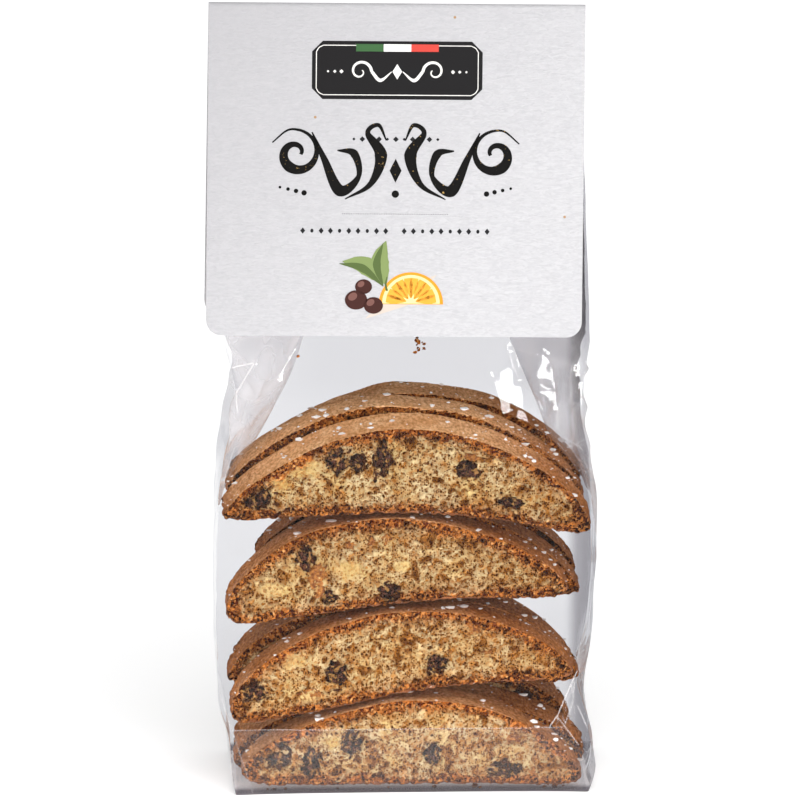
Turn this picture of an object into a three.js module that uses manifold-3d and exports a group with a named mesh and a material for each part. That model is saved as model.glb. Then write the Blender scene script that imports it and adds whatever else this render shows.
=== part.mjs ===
// A bag of biscotti: a clear film bag with a block bottom and side gussets, filled with four
// tiers of sliced biscotti, and closed by a card header that is folded over its top.
// Millimetres, +Z up. The origin is on the ground under the middle of the bag, and the
// front, where the cut faces of the biscotti show, looks along -Y.

import * as THREE from 'three';
import { mergeVertices } from 'three/addons/utils/BufferGeometryUtils.js';
import Module from 'manifold-3d';

// ---- Header card ----
const CARD_WIDTH = 112.2;
const CARD_THICKNESS = 0.5;
const CARD_TOP = 237.2;          // top of the fold at its middle
const CARD_FOLD_RADIUS = 1.3;    // outside of the fold
const CARD_DROP = 98.3;          // from the fold down each panel
const CARD_LEAN = 7.2;           // degrees that each panel leans from upright
const CARD_CORNER = 4.6;         // radius of the lower corners
const CARD_MIDDLE = -1.6;        // the card sits a little left of the bag's middle
const CARD_TURN = 0.85;          // degrees, its right end hangs lower

// ---- Film bag: how the tube of film narrows, bulges and folds with height ----
// left and right are the side edges, half is half of the depth, and fold is how far the
// side gusset is tucked in.
const BAG_STATIONS = [
  { z: 0, left: -50.6, right: 56.2, half: 23.6, fold: 0 },
  { z: 3, left: -51.2, right: 57.2, half: 24.4, fold: 0 },
  { z: 16, left: -52.4, right: 57.0, half: 24.8, fold: 0.6 },
  { z: 31, left: -55.6, right: 54.2, half: 25.0, fold: 1.2 },
  { z: 46, left: -56.1, right: 56.4, half: 25.0, fold: 0.6 },
  { z: 70, left: -56.1, right: 57.7, half: 25.0, fold: 0.3 },
  { z: 91, left: -55.4, right: 58.4, half: 25.0, fold: 1.0 },
  { z: 105, left: -54.0, right: 56.2, half: 25.0, fold: 8.0 },
  { z: 116, left: -51.4, right: 55.0, half: 24.3, fold: 14.0 },
  { z: 124, left: -50.8, right: 55.0, half: 20.0, fold: 18.5 },
  { z: 136, left: -53.8, right: 57.3, half: 12.6, fold: 24.5 },
];
const BAG_TOP = { z: 232.4, left: -52.6, right: 54.4, half: 0.6, fold: 25 };
const BAG_FLARE = 1.6;           // the corners of the block bottom stand out this much
const FLARE_HEIGHT = 20;         // and the walls are straight again at this height
const WALL_CORNER = 2.6;         // radius of the upright corners, where the bag is deep enough
const CORNER_LIMIT = 0.45;       // and at most this share of the half depth elsewhere
const TIER_RECESS = 2.2;         // the film dips this much between the tiers
const RIM_SOFTNESS = 0.6;        // half the width of the step round each biscotto
const TIP_BLEND = 4;             // the step fades in over this length at the tips
const LEAST_STEP = 0.25;         // least height between two rows of points

const COLUMNS = 30;              // quads across each face, closer together near its edges
const ENDS_CUT = 0.12;           // share of a half circle that their spacing leaves out at each end
const USUAL_HEIGHT = 70;         // the bag is about as wide all over as it is here
const GUSSET_POINTS = 5;         // points down each side, between the upright corners
const TIER_ROWS = [0.06, 0.36, 0.68, 0.94];   // rows across a cut face, as shares of its height
const SHOULDER_ROWS = [120, 124, 128, 132, 136];
const HEADER_ROWS = [150, 166, 182, 198, 214, 225, 232.4];

// Each tier's outermost biscotto. left, crown and right are along X; foot is the height of its
// underside at the crown, rise its height there and tilt the slope of the underside. The pairs
// are for its left and right halves: how far the end hangs, how thick its tip is, and how full
// its shoulder is, where 2 makes the height fall off as a parabola.
const FRONT_TIERS = [
  { left: -48.4, crown: 6.8, right: 54.1, foot: 2.3, rise: 26.2, tilt: 0.007,
    droop: [-0.2, 1.7], tip: [8.7, 7.1], curl: [1.99, 2.11] },
  { left: -51.8, crown: -12.3, right: 51.4, foot: 28.0, rise: 26.0, tilt: 0.229,
    droop: [-1.5, 9.0], tip: [11.0, 6.8], curl: [2.14, 2.21] },
  { left: -53.0, crown: -12.5, right: 49.8, foot: 57.0, rise: 26.9, tilt: 0.137,
    droop: [0.2, 6.8], tip: [11.0, 7.8], curl: [2.46, 1.93] },
  { left: -54.1, crown: -1.5, right: 56.4, foot: 86.2, rise: 26.1, tilt: 0.003,
    droop: [2.3, 9.0], tip: [4.6, 10.0], curl: [1.88, 2.25] },
];
const BACK_TIERS = [
  { left: -50.0, crown: 0.0, right: 52.0, foot: 3.8, rise: 26.4, tilt: 0.05,
    droop: [-1.6, 0.2], tip: [7.0, 12.4], curl: [2.0, 3.5] },
  { left: -50.0, crown: 2.0, right: 52.6, foot: 30.0, rise: 26.2, tilt: -0.02,
    droop: [1.4, 1.4], tip: [5.6, 5.6], curl: [2.0, 2.4] },
  { left: -43.4, crown: 3.0, right: 53.4, foot: 59.6, rise: 26.4, tilt: -0.04,
    droop: [0.2, 0.2], tip: [7.0, 6.5], curl: [2.0, 2.2] },
  { left: -52.4, crown: 1.0, right: 55.0, foot: 90.0, rise: 25.9, tilt: -0.05,
    droop: [5.0, 1.0], tip: [5.0, 6.5], curl: [1.42, 2.7] },
];

const rad = THREE.MathUtils.degToRad;
const lerp = THREE.MathUtils.lerp;
const wasm = await Module();
wasm.setup();

// ---- Joining with manifold-3d ----

function toSolid(geometry) {
  const bare = geometry.clone();
  bare.deleteAttribute('normal');
  bare.deleteAttribute('uv');
  const merged = mergeVertices(bare, 1e-4);
  return new wasm.Manifold(new wasm.Mesh({
    numProp: 3,
    vertProperties: new Float32Array(merged.attributes.position.array),
    triVerts: new Uint32Array(merged.index.array),
  }));
}

function toGeometry(solid) {
  const mesh = solid.getMesh();
  const geometry = new THREE.BufferGeometry();
  geometry.setAttribute('position', new THREE.BufferAttribute(mesh.vertProperties.slice(), 3));
  geometry.setIndex(new THREE.BufferAttribute(mesh.triVerts.slice(), 1));
  geometry.computeVertexNormals();
  return geometry;
}

// ---- Biscotti outline ----

// How far x lies from the crown towards an end, from 0 to 1.
function reach(tier, x) {
  const end = x < tier.crown ? tier.left : tier.right;
  return Math.min(1, Math.abs((x - tier.crown) / (end - tier.crown)));
}

// A pair's value for the half of the biscotto that x lies in.
function halfValue(tier, pair, x) {
  return x < tier.crown ? pair[0] : pair[1];
}

function underside(tier, x) {
  const inside = THREE.MathUtils.clamp(x, tier.left, tier.right);
  const hang = halfValue(tier, tier.droop, x) * reach(tier, x) ** 2;
  return tier.foot + tier.tilt * (inside - tier.crown) - hang;
}

function height(tier, x) {
  const tip = halfValue(tier, tier.tip, x);
  return lerp(tier.rise, tip, reach(tier, x) ** halfValue(tier, tier.curl, x));
}

// 1 on a cut face and 0 beyond its tips.
function onFace(tier, x) {
  return THREE.MathUtils.smoothstep(x, tier.left, tier.left + TIP_BLEND)
    * (1 - THREE.MathUtils.smoothstep(x, tier.right - TIP_BLEND, tier.right));
}

// ---- Film bag ----

const KEYS = ['left', 'right', 'half', 'fold'];
const bagCurve = new THREE.CubicInterpolant(
  BAG_STATIONS.map((station) => station.z),
  BAG_STATIONS.flatMap((station) => KEYS.map((key) => station[key])),
  KEYS.length,
  new Float32Array(KEYS.length),
);

// The bag's side edges, half depth and gusset fold at one height.
function bagAt(z) {
  const mouth = BAG_STATIONS[BAG_STATIONS.length - 1];
  if (z > mouth.z) {
    const t = (z - mouth.z) / (BAG_TOP.z - mouth.z);
    return KEYS.map((key) => lerp(mouth[key], BAG_TOP[key], t));
  }
  return Array.from(bagCurve.evaluate(z));
}

// The rows of one face from the ground up: each has its height at x and its share of the
// recess at x.
function faceRows(tiers) {
  const rows = [{ z: () => 0, recess: () => 0 }];
  tiers.forEach((tier, index) => {
    const open = index === 0 ? 0 : 1;
    rows.push({ z: (x) => underside(tier, x) - RIM_SOFTNESS, recess: () => open });
    for (const share of TIER_ROWS) {
      rows.push({
        z: (x) => underside(tier, x) + share * height(tier, x),
        recess: (x) => 1 - onFace(tier, x),
      });
    }
    rows.push({ z: (x) => underside(tier, x) + height(tier, x) + RIM_SOFTNESS, recess: () => 1 });
  });
  for (const z of [...SHOULDER_ROWS, ...HEADER_ROWS]) {
    rows.push({ z: () => z, recess: () => 0 });
  }
  return rows;
}

// How far across the face a column stands, from 0 to 1.
function columnShare(i) {
  const turn = Math.PI * lerp(ENDS_CUT, 1 - ENDS_CUT, i / COLUMNS);
  return 0.5 - 0.5 * Math.cos(turn) / Math.cos(Math.PI * ENDS_CUT);
}

// Points of one face, row by row from left to right; side is -1 for the front, 1 for the back.
function facePoints(tiers, side) {
  const [usualLeft, usualRight] = bagAt(USUAL_HEIGHT);
  let lower = null;
  return faceRows(tiers).map((row) => {
    const points = [];
    for (let i = 0; i <= COLUMNS; i += 1) {
      const across = columnShare(i);
      const guess = lerp(usualLeft, usualRight, across);
      const floor = lower ? lower[i].z + LEAST_STEP : 0;
      const z = Math.max(row.z(guess), floor);
      const [left, right, half] = bagAt(z);
      const x = lerp(left, right, across);
      const corner = Math.min(WALL_CORNER, half * CORNER_LIMIT);
      const inset = Math.max(0, corner - Math.min(x - left, right - x));
      const rounding = corner - Math.sqrt(corner ** 2 - inset ** 2);
      const flare = BAG_FLARE * Math.max(0, 1 - z / FLARE_HEIGHT) * (2 * across - 1) ** 4;
      const depth = half + flare - rounding - TIER_RECESS * row.recess(x);
      points.push(new THREE.Vector3(x, side * depth, z));
    }
    lower = points;
    return points;
  });
}

// Points down one side from one upright corner to the other, along the tucked gusset.
function gussetPoints(start, end, side) {
  const points = [];
  for (let i = 1; i <= GUSSET_POINTS; i += 1) {
    const t = i / (GUSSET_POINTS + 1);
    const point = new THREE.Vector3().lerpVectors(start, end, t);
    const fold = bagAt(point.z)[3];
    point.x -= side * fold * (1 - Math.abs(2 * t - 1));
    points.push(point);
  }
  return points;
}

function capTriangles(loop, facesUp) {
  const flat = loop.map((point) => new THREE.Vector2(point.x, point.y));
  const triangles = THREE.ShapeUtils.triangulateShape(flat, []);
  return triangles.map(([a, b, c]) => (facesUp ? [a, b, c] : [a, c, b]));
}

function bagGeometry() {
  const front = facePoints(FRONT_TIERS, -1);
  const back = facePoints(BACK_TIERS, 1);
  const loops = front.map((row, k) => {
    const returning = [...back[k]].reverse();
    return [
      ...row,
      ...gussetPoints(row[COLUMNS], returning[0], 1),
      ...returning,
      ...gussetPoints(returning[COLUMNS], row[0], -1),
    ];
  });
  const around = loops[0].length;
  const index = [];
  for (let k = 0; k + 1 < loops.length; k += 1) {
    for (let i = 0; i < around; i += 1) {
      const a = k * around + i;
      const b = k * around + (i + 1) % around;
      index.push(a, b, b + around, a, b + around, a + around);
    }
  }
  const last = (loops.length - 1) * around;
  capTriangles(loops[0], false).forEach((triangle) => index.push(...triangle));
  capTriangles(loops[loops.length - 1], true).forEach((triangle) => {
    index.push(...triangle.map((i) => i + last));
  });
  const geometry = new THREE.BufferGeometry().setFromPoints(loops.flat());
  geometry.setIndex(index);
  geometry.computeVertexNormals();
  return geometry;
}

// ---- Header card ----

// One panel of the card, hanging from the fold: side is -1 in front and 1 behind.
function panelGeometry(side) {
  const half = CARD_WIDTH / 2;
  const inner = half - CARD_CORNER;
  const outline = new THREE.Shape();
  outline.moveTo(-half, 0);
  outline.lineTo(-half, CARD_CORNER - CARD_DROP);
  outline.absarc(-inner, CARD_CORNER - CARD_DROP, CARD_CORNER, Math.PI, 1.5 * Math.PI, false);
  outline.absarc(inner, CARD_CORNER - CARD_DROP, CARD_CORNER, 1.5 * Math.PI, 2 * Math.PI, false);
  outline.lineTo(half, 0);
  const panel = new THREE.ExtrudeGeometry(outline, {
    depth: CARD_THICKNESS,
    bevelEnabled: false,
    curveSegments: 8,
  });
  // Upright, its outer face is CARD_FOLD_RADIUS from the fold's axis.
  panel.rotateX(Math.PI / 2);
  panel.translate(0, side < 0 ? CARD_THICKNESS - CARD_FOLD_RADIUS : CARD_FOLD_RADIUS, 0);
  panel.rotateX(side * rad(CARD_LEAN));
  return panel;
}

function foldGeometry() {
  const roll = new THREE.CylinderGeometry(CARD_FOLD_RADIUS, CARD_FOLD_RADIUS, CARD_WIDTH, 20);
  roll.rotateZ(Math.PI / 2);
  return roll;
}

function cardGeometry() {
  const front = toSolid(panelGeometry(-1));
  const back = toSolid(panelGeometry(1));
  return toGeometry(front.add(back).add(toSolid(foldGeometry())));
}

// ---- The bag, standing on its block bottom ----

const filmBag = new THREE.Mesh(
  bagGeometry(),
  new THREE.MeshStandardMaterial({ color: 0xb58a5c, roughness: 0.25, metalness: 0 }),
);
filmBag.name = 'film_bag';

const headerCard = new THREE.Mesh(
  cardGeometry(),
  new THREE.MeshStandardMaterial({ color: 0xe8e8e9, roughness: 0.85, metalness: 0 }),
);
headerCard.name = 'header_card';
headerCard.position.z = CARD_DROP / 2;

const turn = new THREE.Group();
turn.position.set(CARD_MIDDLE, 0, CARD_TOP - CARD_FOLD_RADIUS - CARD_DROP / 2);
turn.rotation.y = rad(CARD_TURN);
turn.add(headerCard);

const bagOfBiscotti = new THREE.Group();
bagOfBiscotti.add(filmBag, turn);

export default bagOfBiscotti;
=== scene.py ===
import functools
import math
import random

import bmesh
import bpy
import numpy as np
from mathutils import Matrix, Vector, kdtree, noise


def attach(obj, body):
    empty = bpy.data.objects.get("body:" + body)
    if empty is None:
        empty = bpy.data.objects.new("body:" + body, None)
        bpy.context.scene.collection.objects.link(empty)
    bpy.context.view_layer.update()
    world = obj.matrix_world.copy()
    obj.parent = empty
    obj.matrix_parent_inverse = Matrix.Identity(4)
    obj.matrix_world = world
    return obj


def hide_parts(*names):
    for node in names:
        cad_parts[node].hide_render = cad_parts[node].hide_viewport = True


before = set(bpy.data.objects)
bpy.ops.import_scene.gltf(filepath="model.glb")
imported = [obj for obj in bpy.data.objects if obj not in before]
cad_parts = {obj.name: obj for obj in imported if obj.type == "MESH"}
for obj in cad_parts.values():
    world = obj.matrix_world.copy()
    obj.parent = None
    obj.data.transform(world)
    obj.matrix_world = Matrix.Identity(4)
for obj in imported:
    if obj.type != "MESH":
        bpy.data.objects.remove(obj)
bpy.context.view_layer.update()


# ----------------------------------------
# Biscotti. Twelve slices cut across baked loaves: a flat underside, a domed crust and two cut
# faces of torn crumb. They lie in four tiers of three, one behind the other.
# Sizes are in millimetres until a piece is finished, and angles are slopes.

MM = 0.001
# left, crown and right are along X; foot is the underside's height at the crown, rise the height
# there and tilt the underside's slope. The pairs are for the left and right halves: how far the
# end hangs, how thick its tip is and how full its shoulder is. face and rear are the two cuts
# along Y, lean lifts the rear one, and the last is how dark the crust is: partly baking, and
# partly painted shade, darker on the lower tiers and the rear slices, which the tier above and
# the card shade.
SLICE_SIZES = ("left", "crown", "right", "foot", "rise", "tilt",
               "droop", "tip", "curl", "face", "rear", "lean", "baked")
BISCOTTI = {
    "biscotto_1_front": (-48.4, 6.8, 54.1, 2.3, 26.2, 0.007,
        (-0.2, 1.7), (8.7, 7.1), (1.99, 2.11), -23.3, -8.4, 0.0, 0.2),
    "biscotto_1_middle": (-50.6, 0.0, 55.4, 2.4, 24.8, 0.0,
        (0.4, 0.2), (9.0, 10.0), (2.0, 2.0), -7.9, 7.5, 1.2, 0.5),
    "biscotto_1_back": (-50.0, 0.0, 52.0, 2.2, 26.4, 0.05,
        (-1.6, 0.2), (7.0, 12.4), (2.0, 3.5), 8.0, 23.4, 1.6, 0.6),
    "biscotto_2_front": (-51.8, -12.3, 51.4, 28.0, 26.0, 0.229,
        (-1.5, 9.0), (11.0, 6.8), (2.14, 2.21), -23.2, -8.1, 0.0, 0.6),
    "biscotto_2_middle": (-52.3, 3.0, 53.8, 29.4, 26.0, 0.0,
        (1.0, 0.4), (7.5, 6.0), (2.9, 3.0), -7.7, 7.6, 0.0, 0.7),
    "biscotto_2_back": (-50.0, 2.0, 52.6, 30.0, 26.2, -0.02,
        (1.4, 1.4), (5.6, 5.6), (2.0, 2.4), 8.1, 23.4, 0.0, 0.8),
    "biscotto_3_front": (-53.0, -12.5, 49.8, 57.0, 26.9, 0.137,
        (0.2, 6.8), (11.0, 7.8), (2.46, 1.93), -23.0, -8.0, 0.0, 0.55),
    "biscotto_3_middle": (-45.4, 3.0, 54.0, 59.4, 26.0, -0.035,
        (1.0, 2.2), (6.0, 6.0), (2.0, 2.1), -7.6, 7.6, 0.0, 0.8),
    "biscotto_3_back": (-43.4, 3.0, 53.4, 59.6, 26.4, -0.04,
        (0.2, 0.2), (7.0, 6.5), (2.0, 2.2), 8.0, 23.2, 0.0, 0.85),
    "biscotto_4_front": (-54.1, -1.5, 56.4, 86.2, 26.1, 0.003,
        (2.3, 9.0), (4.6, 10.0), (1.88, 2.25), -23.4, -8.0, 1.5, 0.0),
    "biscotto_4_middle": (-52.6, -1.4, 55.2, 88.1, 27.3, -0.033,
        (2.8, 1.8), (6.0, 6.2), (2.0, 2.44), -7.6, 7.8, 0.1, 0.0),
    "biscotto_4_back": (-51.0, 1.0, 55.0, 89.9, 25.9, -0.05,
        (5.0, 1.0), (5.0, 6.5), (1.42, 2.7), 8.2, 23.3, 0.1, 0.35),
}
BISCOTTI = {name: dict(zip(SLICE_SIZES, sizes)) for name, sizes in BISCOTTI.items()}
FINE_VOXEL = 0.4          # mesh spacing on the slices whose cut face can be seen
PLAIN_VOXEL = 0.6
OUTLINE_POINTS = 144
TIP_BLUNTNESS = 16        # the higher, the squarer the tips


def reach(s, x):
    """How far x lies from the crown towards a tip, from 0 to 1."""
    end = np.where(x < s["crown"], s["left"], s["right"])
    return np.clip(np.abs((x - s["crown"]) / (end - s["crown"])), 0, 1)


def half_value(s, key, x):
    """A pair's value for the half of the slice that x lies in."""
    return np.where(x < s["crown"], s[key][0], s[key][1])


def underside(s, x):
    return s["foot"] + s["tilt"] * (x - s["crown"]) - half_value(s, "droop", x) * reach(s, x) ** 2


def slice_half(s, x):
    """Half of the slice's height at x."""
    tip = half_value(s, "tip", x)
    return (tip + (s["rise"] - tip) * (1 - reach(s, x) ** half_value(s, "curl", x))) / 2


def slice_edges(s, x):
    half = slice_half(s, x)
    middle = underside(s, x) + half
    round_off = np.sqrt(np.clip(1 - reach(s, x) ** TIP_BLUNTNESS, 0, 1))
    return middle - half * round_off, middle + half * round_off


def smooth(low, high, value):
    """0 below low, 1 above high, and an even curve between."""
    t = np.clip((value - low) / (high - low), 0, 1)
    return t * t * (3 - 2 * t)


def grain(points, size, shift=0.0):
    """Noise of about -1 to 1 at each point, with features of the given size."""
    return np.array([noise.noise((p[0] / size + shift, p[1] / size, p[2] / size)) for p in points])


link = bpy.context.scene.collection.objects.link


def remeshed(bm, voxel):
    """A mesh of even quads over the closed form in bm."""
    rough = bpy.data.meshes.new("rough")
    bm.to_mesh(rough)
    bm.free()
    holder = bpy.data.objects.new("rough", rough)
    link(holder)
    modifier = holder.modifiers.new("even", "REMESH")
    modifier.mode = "VOXEL"
    modifier.voxel_size = voxel
    graph = bpy.context.evaluated_depsgraph_get()
    mesh = bpy.data.meshes.new_from_object(holder.evaluated_get(graph))
    bpy.data.objects.remove(holder)
    bpy.data.meshes.remove(rough)
    return mesh


def slice_solid(s):
    """The plain slice: its outline filled and drawn back through the loaf."""
    bm = bmesh.new()
    bmesh.ops.create_circle(bm, cap_ends=True, segments=OUTLINE_POINTS, radius=1)
    for v in bm.verts:
        turn = math.atan2(v.co.y, v.co.x)
        side = math.cos(turn)
        span = s["right"] - s["crown"] if side > 0 else s["crown"] - s["left"]
        x = s["crown"] + side * span
        low, high = slice_edges(s, x)
        v.co = (x, s["face"], high if turn >= 0 else low)
    drawn = bmesh.ops.extrude_face_region(bm, geom=bm.faces[:])
    moved = [g for g in drawn["geom"] if isinstance(g, bmesh.types.BMVert)]
    bmesh.ops.translate(bm, vec=(0, s["rear"] - s["face"], 0), verts=moved)
    bmesh.ops.recalc_face_normals(bm, faces=bm.faces[:])
    return bm


def random_pits(s, rng, count, smallest, largest):
    """Pores of a cut face, as (x, z, radius), many small ones and few large."""
    pits = []
    while len(pits) < count:
        x = rng.uniform(s["left"] + 3, s["right"] - 3)
        low, high = slice_edges(s, x)
        z = rng.uniform(low + 1.5, high - 1.5)
        size = smallest + (largest - smallest) * rng.random() ** 3
        pits.append((x, z, size))
    return pits


def inset_from_outline(s, points):
    """About how far inside the slice's outline each point lies."""
    x, z = points[:, 0], points[:, 2]
    low, high = slice_edges(s, x)
    slope = 1.6 * s["rise"] * reach(s, x) / ((s["right"] - s["left"]) / 2)
    top = (high - z) / np.sqrt(1 + slope ** 2)
    ends = np.minimum(x - s["left"], s["right"] - x) * 0.6
    return np.clip(np.minimum(np.minimum(top, z - low), ends), 0, None)


def add_attributes(mesh, **values):
    """Writes named values to the mesh's vertices: one for all of them, or one for each."""
    for name, value in values.items():
        layer = mesh.attributes.get(name) or mesh.attributes.new(name, "FLOAT", "POINT")
        layer.data.foreach_set("value", np.full(len(mesh.vertices), value, dtype=np.float32))


def finished(name, shape, *materials, smooth_faces=True):
    """Links a mesh or bmesh made in millimetres as a piece in metres."""
    mesh = shape
    if isinstance(shape, bmesh.types.BMesh):
        mesh = bpy.data.meshes.new(name)
        shape.to_mesh(mesh)
        shape.free()
    mesh.transform(Matrix.Scale(MM, 4))
    mesh.name = name
    if smooth_faces:
        mesh.polygons.foreach_set("use_smooth", [True] * len(mesh.polygons))
    for material in materials:
        mesh.materials.append(material)
    piece = bpy.data.objects.new(name, mesh)
    link(piece)
    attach(piece, "root")
    return piece


def linear(hex_colour):
    """An sRGB hex colour as linear RGBA."""
    parts = [int(hex_colour[i:i + 2], 16) / 255 for i in (1, 3, 5)]
    return tuple(c / 12.92 if c <= 0.04045 else ((c + 0.055) / 1.055) ** 2.4 for c in parts) + (1.0,)


def add_node(tree, kind, inputs=(), **settings):
    """Adds a node, sets its properties, and sets or links its inputs, which go by place or name.
    A node given as an input is linked from the first of its outputs that is in use."""
    made = tree.nodes.new("ShaderNode" + kind)
    for key, value in settings.items():
        setattr(made, key, value)
    for key, value in inputs.items() if isinstance(inputs, dict) else enumerate(inputs):
        if isinstance(value, bpy.types.Node):
            value = next(output for output in value.outputs if output.enabled)
        if isinstance(value, bpy.types.NodeSocket):
            tree.links.new(value, made.inputs[key])
        else:
            made.inputs[key].default_value = value
    return made


def new_material(name):
    """A bare material, and the function that adds nodes to it."""
    material = bpy.data.materials.new(name)
    material.use_nodes = True
    material.node_tree.nodes.clear()
    return material, functools.partial(add_node, material.node_tree)


# Torn crumb of a semi-soft biscuit: matt, a sponge of golden walls round pores of 0.5 to
# 1 mm, which painted shade makes darker, and toasted grains of several browns towards the crust.
crumb, add = new_material("baked_crumb")
place = add("TexCoord").outputs["Object"]
# noises, each by the size of its features in millimetres, its detail and its roughness
wander, wide, medium, torn, blush = (
    add("TexNoise", {"Vector": place, "Scale": 1 / (size * MM), "Detail": detail, "Roughness": rough})
    for size, detail, rough in ((0.9, 2, 0.5), (8, 3, 0.5), (1.6, 3, 0.6), (2.0, 5, 0.65), (4.5, 4, 0.6)))
bent = add("VectorMath", (wander.outputs["Color"], (0.5 * MM,) * 3, place), operation="MULTIPLY_ADD")
inset, pit, dense, cocoa, baked, burnt = (
    add("Attribute", attribute_name=key).outputs["Fac"]
    for key in ("inset", "pit", "dense", "cocoa", "baked", "burnt"))
# how deep in a pore each spot lies: round pores of two sizes, no two alike, and crumbly patches
depth = pit
for cell, widest, share in ((0.62, 0.6, 1.1), (1.3, 0.44, 0.95)):
    cells = add("TexVoronoi", {"Vector": bent, "Scale": 1 / (cell * MM)})
    chance = add("SeparateColor", (cells.outputs["Color"],))
    edge = add("Math", (chance, widest), operation="MULTIPLY")
    bottom = add("Math", (edge, 0.14), operation="SUBTRACT")
    pore = add("MapRange", (cells, edge, bottom))
    depth = add("Math", (pore, share, depth), operation="MULTIPLY_ADD")
hollow = add("MapRange", (torn, 0.36, 0.58, 0.5, -0.15))
depth = add("Math", (depth, hollow), operation="ADD")
open_crumb = add("Math", (1.0, dense), operation="SUBTRACT")
depth = add("Math", (depth, open_crumb), operation="MULTIPLY")
# the walls' own tones, darker on slices whose crust is darker, partly painted shade; then painted shade:
# browns that darken the deeper a spot lies in a pore
tone = add("MapRange", (wide, 0.38, 0.62))
toasted = add("MapRange", (blush, 0.53, 0.68, 0, 0.3))
tan_and_shade = add("Math", (baked, 0.6), operation="MULTIPLY", use_clamp=True)
pore_shade_mid = add("MapRange", (depth, 0.15, 0.95))
pore_shade_deep = add("MapRange", (depth, 0.85, 1.6))
colour = linear("#e4c281")
for share, over in ((tone, "#e6ce9e"), (toasted, "#c08a4c"), (dense, "#c4a052"), (tan_and_shade, "#c4a472"),
                    (pore_shade_mid, "#ca8436"), (pore_shade_deep, "#582b08")):
    colour = add("Mix", {0: share, 6: colour, 7: linear(over)}, data_type="RGBA")
# toasted grains, each of its own brown, with painted shade darkening the gaps between them, and some
# darkened further
grains = add("TexVoronoi", {"Vector": bent, "Scale": 1 / (0.75 * MM)})
pick = add("SeparateColor", (grains.outputs["Color"],)).outputs
some = add("MapRange", (pick[0], 0.15, 0.75))
few = add("MapRange", (pick[0], 0.88, 1.0))
gap_shade = add("MapRange", (depth, 0.7, 1.3, 0, 0.95))
dark_grain = add("MapRange", (pick[0], 0.75, 0.35))
darkened_grains = add("Math", (burnt, dark_grain), operation="MULTIPLY")
toast = linear("#602405")
for share, over in ((some, "#d07f38"), (few, "#e6a864"), (gap_shade, "#2e0f03"), (darkened_grains, "#2c0f04")):
    toast = add("Mix", {0: share, 6: toast, 7: linear(over)}, data_type="RGBA")
# the toast lies along the rim, with a ragged inner edge; here and there is a fleck of brown, and
# cocoa is smeared round the chocolate
wavy = add("Math", (wide, 6.0, inset), operation="MULTIPLY_ADD")
ragged = add("Math", (medium, 5.0, wavy), operation="MULTIPLY_ADD")
tinted = add("MapRange", (ragged, 11.5, 8.2, 0, 0.45))
browned = add("MapRange", (ragged, 8.8, 7.8))
stray = add("MapRange", (pick[1], 0.93, 0.96, 0, 0.75))
patchy = add("Math", (medium, 2.6, cocoa), operation="MULTIPLY_ADD")
smear = add("MapRange", (patchy, 1.8, 2.05))
cocoas = add("Mix", {0: pick[2], 6: linear("#241008"), 7: linear("#6e4126")}, data_type="RGBA")
for share, over in ((tinted, toast), (browned, toast), (stray, linear("#8c5526")), (smear, cocoas)):
    colour = add("Mix", {0: share, 6: colour, 7: over}, data_type="RGBA")
height = add("Math", (pick[0], 0.4, depth), operation="MULTIPLY_ADD")
relief = add("Bump", {"Height": height, "Distance": 0.9 * MM}, invert=True)
shader = add("BsdfPrincipled", {
    "Base Color": colour, "Roughness": 0.9, "Specular IOR Level": 0.08, "Normal": relief})
add("OutputMaterial", {"Surface": shader})

# Crust: the loaf's baked skin, smooth and matt, light brown with fine drag marks and a dusting
# of sugar, darker where it meets the baking sheet.
crust, add = new_material("baked_crust")
place = add("TexCoord").outputs["Object"]
stretch = add("Mapping", {"Vector": place, "Scale": (1.0, 0.5, 1.0)})
blotch = add("TexNoise", {"Vector": place, "Scale": 1 / (6 * MM), "Detail": 4.0})
drag = add("TexNoise", {"Vector": stretch, "Scale": 1 / (0.9 * MM), "Detail": 4.0, "Roughness": 0.6})
lift, baked = (add("Attribute", attribute_name=key).outputs["Fac"] for key in ("lift", "baked"))
tone = add("MapRange", (blotch, 0.35, 0.65))
skin = add("Mix", {0: tone, 6: linear("#e6a76e"), 7: linear("#f9c591")}, data_type="RGBA")
streak = add("MapRange", (drag, 0.36, 0.6))
colour = add("Mix", {0: streak, 6: linear("#bc8049"), 7: skin}, data_type="RGBA")
brown = add("Mix", {0: streak, 6: linear("#7a451c"), 7: linear("#c07a40")}, data_type="RGBA")
low = add("MapRange", (lift, 0.3, 0.05))
dust = add("MapRange", (drag, 0.62, 0.74, 0, 0.5))
# the crust browns by how dark the slice is drawn, partly baking and partly painted shade
for share, over in ((baked, brown), (low, linear("#8a5430")), (dust, linear("#eadfd0"))):
    colour = add("Mix", {0: share, 6: colour, 7: over}, data_type="RGBA")
relief = add("Bump", {"Height": drag, "Distance": 0.28 * MM, "Strength": 0.6})
shader = add("BsdfPrincipled", {
    "Base Color": colour, "Roughness": 0.8, "Specular IOR Level": 0.15, "Normal": relief})
add("OutputMaterial", {"Surface": shader})

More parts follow.
